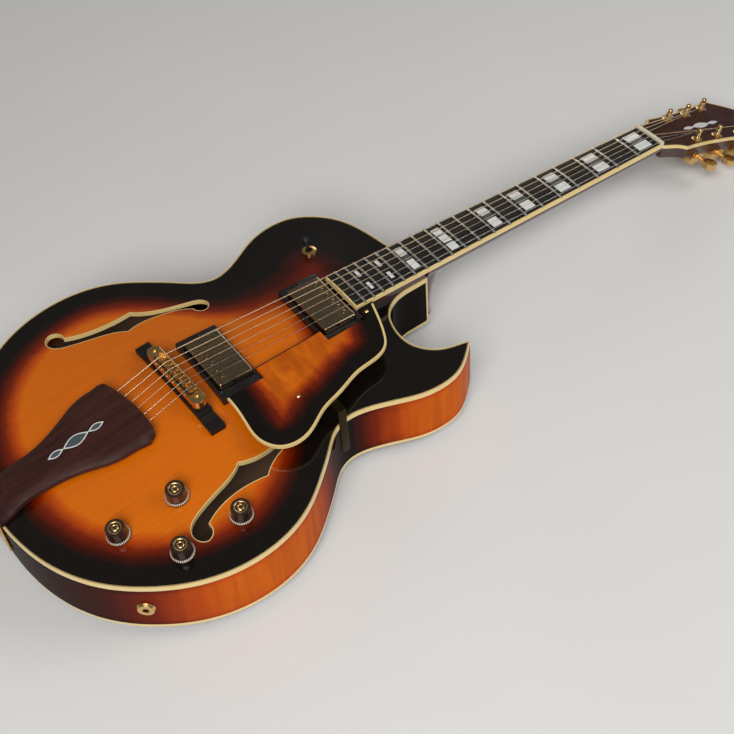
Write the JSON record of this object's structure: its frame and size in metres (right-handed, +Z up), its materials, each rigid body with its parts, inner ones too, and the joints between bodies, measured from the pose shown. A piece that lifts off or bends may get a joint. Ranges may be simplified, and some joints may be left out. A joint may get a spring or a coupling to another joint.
{
  "type": "archtop guitar",
  "caption": "Hollow-body archtop electric guitar with a cutaway, f-holes, wooden tailpiece, floating bridge, covered pickups and working tuners, knobs and switch.",
  "frame": {"origin": "middle of the tail strap pin's head, on the centre line, half-way down the side", "axes": "+X along the neck to the headstock, +Y to the bass side, +Z up out of the top; the guitar lies on its back"},
  "size_m": [1.0416, 0.402, 0.1269],
  "materials": {
    "sunburst_spruce": "gloss lacquer over an amber to black sunburst",
    "flamed_maple": "gloss lacquer over flamed maple, dark at the edges",
    "black_metal": "satin black plating",
    "cream_binding": "polished cream celluloid",
    "spruce_inner": "bare wood",
    "pickguard_maple": "gloss lacquer over flamed maple, dark at the edges",
    "neck_wood": "dark gloss lacquer",
    "black_wood": "oiled ebony",
    "tailpiece_wood": "satin dark brown wood",
    "fret_metal": "polished nickel silver and steel",
    "pearl": "pearl and abalone",
    "bone": "polished bone",
    "gold": "gold plate, worn",
    "black_plastic": "black plastic",
    "steel": "bare steel",
    "knob_plastic": "dark brown plastic"
  },
  "bodies": {
    "body": {"top_plate": "sunburst_spruce", "back_plate": "flamed_maple", "rim": "flamed_maple", "body_bindings": "cream_binding", "neck_block": "spruce_inner", "tail_block": "spruce_inner", "kerfed_linings": "spruce_inner", "tone_bars": "spruce_inner", "frets": "fret_metal", "fretboard": "black_wood", "fret_inlays": "pearl", "nut": "bone", "headstock_veneer": "black_wood", "truss_rod": "fret_metal", "neck": "neck_wood", "heel_cap": "black_wood", "neck_bindings": "cream_binding", "tuner_housings": "gold", "tuner_bushings": "gold", "strap_pins": "gold", "strings": "fret_metal", "bridge_base": "black_wood", "bridge_posts": "gold", "pickup_rings": "black_plastic", "potentiometers": "steel", "toggle_switch_body": "gold", "output_jack": "gold", "pickguard": "pickguard_maple", "pickguard_binding": "cream_binding", "pickguard_bracket": "black_metal", "tailpiece": "tailpiece_wood", "tailpiece_bracket": "gold"},
    "tuner_button_1": {"tuner_button_1": "gold"},
    "tuner_post_1": {"tuner_post_1": "gold"},
    "tuner_button_2": {"tuner_button_2": "gold"},
    "tuner_post_2": {"tuner_post_2": "gold"},
    "tuner_button_3": {"tuner_button_3": "gold"},
    "tuner_post_3": {"tuner_post_3": "gold"},
    "tuner_button_4": {"tuner_button_4": "gold"},
    "tuner_post_4": {"tuner_post_4": "gold"},
    "tuner_button_5": {"tuner_button_5": "gold"},
    "tuner_post_5": {"tuner_post_5": "gold"},
    "tuner_button_6": {"tuner_button_6": "gold"},
    "tuner_post_6": {"tuner_post_6": "gold"},
    "neck_volume_knob": {"neck_volume_knob": "knob_plastic"},
    "neck_tone_knob": {"neck_tone_knob": "knob_plastic"},
    "bridge_volume_knob": {"bridge_volume_knob": "knob_plastic"},
    "bridge_tone_knob": {"bridge_tone_knob": "knob_plastic"},
    "toggle_lever": {"toggle_lever": "black_plastic"},
    "bridge_bar": {"bridge_bar": "gold"},
    "bass_thumbwheel": {"bass_thumbwheel": "gold"},
    "treble_thumbwheel": {"treble_thumbwheel": "gold"},
    "saddle_1": {"saddle_1": "gold"},
    "saddle_2": {"saddle_2": "gold"},
    "saddle_3": {"saddle_3": "gold"},
    "saddle_4": {"saddle_4": "gold"},
    "saddle_5": {"saddle_5": "gold"},
    "saddle_6": {"saddle_6": "gold"},
    "neck_pickup": {"neck_pickup": "gold"},
    "bridge_pickup": {"bridge_pickup": "gold"}
  },
  "joints": [
    {"name": "tuner_button_1_turn", "type": "hinge", "parent": "body", "child": "tuner_button_1", "pos_m": [0.91712, -0.02418, -0.01599], "axis": [0, -1, 0], "continuous": true},
    {"name": "tuner_post_1_turn", "type": "hinge", "parent": "body", "child": "tuner_post_1", "pos_m": [0.91613, -0.02418, 0.00744], "axis": [0.3057, 0, 0.9521], "continuous": true},
    {"name": "tuner_button_2_turn", "type": "hinge", "parent": "body", "child": "tuner_button_2", "pos_m": [0.9514, -0.02601, -0.02699], "axis": [0, -1, 0], "continuous": true},
    {"name": "tuner_post_2_turn", "type": "hinge", "parent": "body", "child": "tuner_post_2", "pos_m": [0.95041, -0.02601, -0.00357], "axis": [0.3057, 0, 0.9521], "continuous": true},
    {"name": "tuner_button_3_turn", "type": "hinge", "parent": "body", "child": "tuner_button_3", "pos_m": [0.98567, -0.03086, -0.038], "axis": [0, -1, 0], "continuous": true},
    {"name": "tuner_post_3_turn", "type": "hinge", "parent": "body", "child": "tuner_post_3", "pos_m": [0.98469, -0.03086, -0.01457], "axis": [0.3057, 0, 0.9521], "continuous": true},
    {"name": "tuner_button_4_turn", "type": "hinge", "parent": "body", "child": "tuner_button_4", "pos_m": [0.98567, 0.03086, -0.038], "axis": [0, 1, 0], "continuous": true},
    {"name": "tuner_post_4_turn", "type": "hinge", "parent": "body", "child": "tuner_post_4", "pos_m": [0.98469, 0.03086, -0.01457], "axis": [0.3057, 0, 0.9521], "continuous": true},
    {"name": "tuner_button_5_turn", "type": "hinge", "parent": "body", "child": "tuner_button_5", "pos_m": [0.9514, 0.02601, -0.02699], "axis": [0, 1, 0], "continuous": true},
    {"name": "tuner_post_5_turn", "type": "hinge", "parent": "body", "child": "tuner_post_5", "pos_m": [0.95041, 0.02601, -0.00357], "axis": [0.3057, 0, 0.9521], "continuous": true},
    {"name": "tuner_button_6_turn", "type": "hinge", "parent": "body", "child": "tuner_button_6", "pos_m": [0.91712, 0.02418, -0.01599], "axis": [0, 1, 0], "continuous": true},
    {"name": "tuner_post_6_turn", "type": "hinge", "parent": "body", "child": "tuner_post_6", "pos_m": [0.91613, 0.02418, 0.00744], "axis": [0.3057, 0, 0.9521], "continuous": true},
    {"name": "neck_volume_knob_turn", "type": "hinge", "parent": "body", "child": "neck_volume_knob", "pos_m": [0.15445, -0.1048, 0.04333], "axis": [-0.0525, -0.1333, 0.9897], "range_deg": [-150, 150]},
    {"name": "neck_tone_knob_turn", "type": "hinge", "parent": "body", "child": "neck_tone_knob", "pos_m": [0.19165, -0.1556, 0.03728], "axis": [0.0114, -0.1068, 0.9942], "range_deg": [-150, 150]},
    {"name": "bridge_volume_knob_turn", "type": "hinge", "parent": "body", "child": "bridge_volume_knob", "pos_m": [0.09195, -0.1048, 0.03798], "axis": [-0.0942, -0.0783, 0.9925], "range_deg": [-150, 150]},
    {"name": "bridge_tone_knob_turn", "type": "hinge", "parent": "body", "child": "bridge_tone_knob", "pos_m": [0.12915, -0.1556, 0.0361], "axis": [-0.0392, -0.0805, 0.996], "range_deg": [-150, 150]},
    {"name": "toggle_lever_flip", "type": "hinge", "parent": "body", "child": "toggle_lever", "pos_m": [0.43344, 0.08705, 0.03251], "axis": [0.9989, -0.0015, -0.0471], "range_deg": [0, 28]},
    {"name": "bridge_height", "type": "slide", "parent": "body", "child": "bridge_bar", "axis": [0, 0, 1], "range_m": [-0.003, 0]},
    {"name": "bass_thumbwheel_turn", "type": "hinge", "parent": "bridge_bar", "child": "bass_thumbwheel", "pos_m": [0.21861, 0.03797, 0.06243], "axis": [0, 0, 1], "range_deg": [-1360, 10]},
    {"name": "treble_thumbwheel_turn", "type": "hinge", "parent": "bridge_bar", "child": "treble_thumbwheel", "pos_m": [0.22179, -0.03797, 0.06243], "axis": [0, 0, 1], "range_deg": [-1360, 10]},
    {"name": "saddle_1_slide", "type": "slide", "parent": "bridge_bar", "child": "saddle_1", "axis": [0.9991, 0.0419, 0], "range_m": [-0.0003, 0.003]},
    {"name": "saddle_2_slide", "type": "slide", "parent": "bridge_bar", "child": "saddle_2", "axis": [0.9991, 0.0419, 0], "range_m": [-0.0003, 0.003]},
    {"name": "saddle_3_slide", "type": "slide", "parent": "bridge_bar", "child": "saddle_3", "axis": [0.9991, 0.0419, 0], "range_m": [-0.0003, 0.003]},
    {"name": "saddle_4_slide", "type": "slide", "parent": "bridge_bar", "child": "saddle_4", "axis": [0.9991, 0.0419, 0], "range_m": [-0.0003, 0.003]},
    {"name": "saddle_5_slide", "type": "slide", "parent": "bridge_bar", "child": "saddle_5", "axis": [0.9991, 0.0419, 0], "range_m": [-0.0003, 0.003]},
    {"name": "saddle_6_slide", "type": "slide", "parent": "bridge_bar", "child": "saddle_6", "axis": [0.9991, 0.0419, 0], "range_m": [-0.0003, 0.003]},
    {"name": "neck_pickup_height", "type": "slide", "parent": "body", "child": "neck_pickup", "axis": [0.0663, 0, 0.9978], "range_m": [-0.003, 0.0015]},
    {"name": "bridge_pickup_height", "type": "slide", "parent": "body", "child": "bridge_pickup", "axis": [0.0663, 0, 0.9978], "range_m": [-0.003, 0.0015]}
  ],
  "couplings": [
    {"joint": "tuner_post_1_turn", "follows": "tuner_button_1_turn", "ratio": -0.071429},
    {"joint": "tuner_post_2_turn", "follows": "tuner_button_2_turn", "ratio": -0.071429},
    {"joint": "tuner_post_3_turn", "follows": "tuner_button_3_turn", "ratio": -0.071429},
    {"joint": "tuner_post_4_turn", "follows": "tuner_button_4_turn", "ratio": 0.071429},
    {"joint": "tuner_post_5_turn", "follows": "tuner_button_5_turn", "ratio": 0.071429},
    {"joint": "tuner_post_6_turn", "follows": "tuner_button_6_turn", "ratio": 0.071429},
    {"joint": "bass_thumbwheel_turn", "follows": "bridge_height", "rad_per_m": 7854},
    {"joint": "treble_thumbwheel_turn", "follows": "bridge_height", "rad_per_m": 7854}
  ]
}
